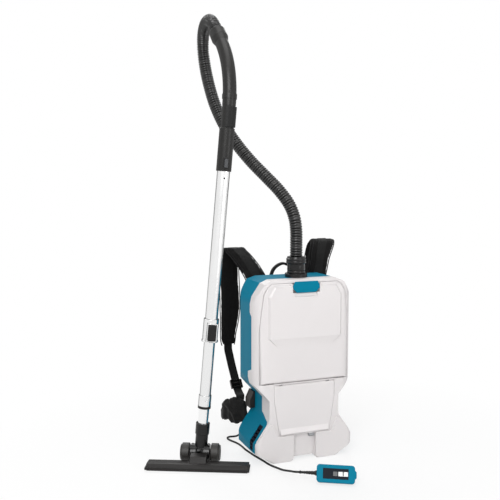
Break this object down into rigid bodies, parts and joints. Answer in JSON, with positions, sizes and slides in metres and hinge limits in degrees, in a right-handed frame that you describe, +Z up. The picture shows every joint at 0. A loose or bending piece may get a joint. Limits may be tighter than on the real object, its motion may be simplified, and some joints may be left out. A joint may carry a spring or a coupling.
{
  "type": "backpack vacuum cleaner",
  "caption": "backpack vacuum cleaner with a moulded housing, padded harness, hose, telescopic wand with floor nozzle and a remote control on a lead",
  "frame": {"origin": "on the floor under the middle of the housing's base, where the mount base_face is", "axes": "+Z up, the front of the housing faces -Y, the wearer's back is towards +Y, the wearer's left is -X"},
  "size_m": [0.6193, 0.5359, 1.2141],
  "materials": {
    "white": "satin moulded ABS",
    "teal": "satin moulded ABS",
    "black": "fine texture",
    "grey": "fine texture",
    "inner": "plain",
    "bagpaper": "non-woven fleece",
    "card": "pressed board",
    "pleats": "pleated filter paper in a frame",
    "steel": "turned",
    "copper": "enamelled windings on a laminated core",
    "board": "solder mask",
    "tube": "bright anodised",
    "chrome": "polished",
    "rubber": "matt",
    "web": "woven polyester over foam",
    "bristle": "bristle strip",
    "panel": "printed membrane",
    "key": "gloss",
    "battery": "fine texture",
    "red": "fine texture",
    "alu": "cast"
  },
  "bodies": {
    "pack": {"front_housing": "white", "rear_housing": "teal", "inner_chassis": "inner", "inlet_port": "black", "bag_collar": "card", "dust_bag": "bagpaper", "hepa_filter": "pleats", "motor_casing": "grey", "motor_stator": "copper", "motor_bearings": "steel", "motor_mounts": "rubber", "control_board": "board", "battery_left": "battery", "battery_right": "battery", "exhaust_grilles": "inner", "housing_screws": "steel", "hinge_pins": "steel", "harness_plate": "inner", "back_pad": "web", "shoulder_pad_left": "web", "shoulder_pad_right": "web", "strap_webbing": "web", "strap_buckles": "black", "belt_brackets": "black", "belt_left": "web", "belt_right": "web", "belt_buckle": "black", "grab_loop": "web", "remote_case": "teal", "remote_panel": "panel", "lead_gland": "rubber", "remote_lead": "rubber"},
    "bag_door": {"bag_door": "white", "door_gasket": "rubber", "latch_spring": "steel"},
    "door_latch": {"door_latch": "teal"},
    "battery_door": {"battery_door": "white"},
    "battery_catch": {"battery_catch": "grey"},
    "battery_button_left": {"battery_button_left": "red"},
    "battery_button_right": {"battery_button_right": "red"},
    "fan_rotor": {"fan_rotor": "alu"},
    "hose_set": {"inlet_cuff": "black", "hose": "black", "handle": "black", "handle_grip": "rubber", "outer_tube": "tube", "tube_sleeve": "tube"},
    "handle_cuff": {"handle_cuff": "black"},
    "handle_lock_button": {"handle_lock_button": "grey"},
    "tube_release_button": {"tube_release_button": "black"},
    "lower_tube": {"inner_tube": "tube", "tube_seal_ring": "rubber", "nozzle_pipe": "chrome"},
    "nozzle_neck": {"nozzle_neck": "black"},
    "nozzle_base": {"nozzle_base": "black", "nozzle_brushes": "bristle"},
    "nozzle_wheels": {"nozzle_wheels": "rubber"},
    "power_button": {"power_button": "key"},
    "mode_button": {"mode_button": "key"},
    "remote_clip": {"remote_clip": "black"}
  },
  "joints": [
    {"name": "bag_door_hinge", "type": "hinge", "parent": "pack", "child": "bag_door", "pos_m": [0, -0.0587, 0.2255], "axis": [1, 0, 0], "range_deg": [0, 95]},
    {"name": "door_latch_hinge", "type": "hinge", "parent": "bag_door", "child": "door_latch", "pos_m": [0, -0.065, 0.479], "axis": [-1, 0, 0], "range_deg": [0, 25], "stiffness_Nm_per_rad": 0.2},
    {"name": "battery_door_hinge", "type": "hinge", "parent": "pack", "child": "battery_door", "pos_m": [0, -0.0587, 0.2065], "axis": [-1, 0, 0], "range_deg": [0, 80]},
    {"name": "battery_catch_slide", "type": "slide", "parent": "pack", "child": "battery_catch", "axis": [0, 0, -1], "range_m": [0, 0.003], "stiffness_N_per_m": 400},
    {"name": "battery_button_left_press", "type": "slide", "parent": "pack", "child": "battery_button_left", "axis": [0, 1, 0], "range_m": [0, 0.002], "stiffness_N_per_m": 500},
    {"name": "battery_button_right_press", "type": "slide", "parent": "pack", "child": "battery_button_right", "axis": [0, 1, 0], "range_m": [0, 0.002], "stiffness_N_per_m": 500},
    {"name": "fan_spin", "type": "hinge", "parent": "pack", "child": "fan_rotor", "pos_m": [0, 0.033, 0.17], "axis": [0, 0, 1], "continuous": true},
    {"name": "hose_swivel", "type": "hinge", "parent": "pack", "child": "hose_set", "pos_m": [0, -0.005, 0.53], "axis": [0, 0, 1], "range_deg": [-20, 3]},
    {"name": "handle_cuff_spin", "type": "hinge", "parent": "hose_set", "child": "handle_cuff", "pos_m": [-0.19314, 0.06985, 1.13679], "axis": [-0.053, 0.6763, 0.7347], "continuous": true},
    {"name": "handle_lock_press", "type": "slide", "parent": "hose_set", "child": "handle_lock_button", "axis": [0.1227, 0.9922, 0.0207], "range_m": [0, 0.003], "stiffness_N_per_m": 500},
    {"name": "tube_release_press", "type": "slide", "parent": "hose_set", "child": "tube_release_button", "axis": [0.1227, 0.9922, 0.0207], "range_m": [0, 0.003], "stiffness_N_per_m": 500},
    {"name": "wand_telescope", "type": "slide", "parent": "hose_set", "child": "lower_tube", "axis": [0.0797, -0.0306, 0.9963], "range_m": [-0.24, 0.14]},
    {"name": "neck_swivel", "type": "hinge", "parent": "lower_tube", "child": "nozzle_neck", "pos_m": [-0.269, 0.022, 0.025], "axis": [0.0797, -0.0306, 0.9963], "range_deg": [-120, 0]},
    {"name": "base_tilt", "type": "hinge", "parent": "nozzle_neck", "child": "nozzle_base", "pos_m": [-0.269, 0.022, 0.025], "axis": [0.9063, -0.4226, 0], "range_deg": [-8, 75]},
    {"name": "wheel_spin", "type": "hinge", "parent": "nozzle_base", "child": "nozzle_wheels", "pos_m": [-0.269, 0.022, 0.025], "axis": [0.9063, -0.4226, 0], "continuous": true},
    {"name": "power_button_press", "type": "slide", "parent": "pack", "child": "power_button", "axis": [0.4401, 0.7747, -0.454], "range_m": [0, 0.001], "stiffness_N_per_m": 400},
    {"name": "mode_button_press", "type": "slide", "parent": "pack", "child": "mode_button", "axis": [0.4401, 0.7747, -0.454], "range_m": [0, 0.001], "stiffness_N_per_m": 400},
    {"name": "remote_clip_hinge", "type": "hinge", "parent": "pack", "child": "remote_clip", "pos_m": [0.01027, -0.23192, 0.03389], "axis": [0.8695, -0.4939, 0], "range_deg": [0, 12], "stiffness_Nm_per_rad": 0.3}
  ]
}
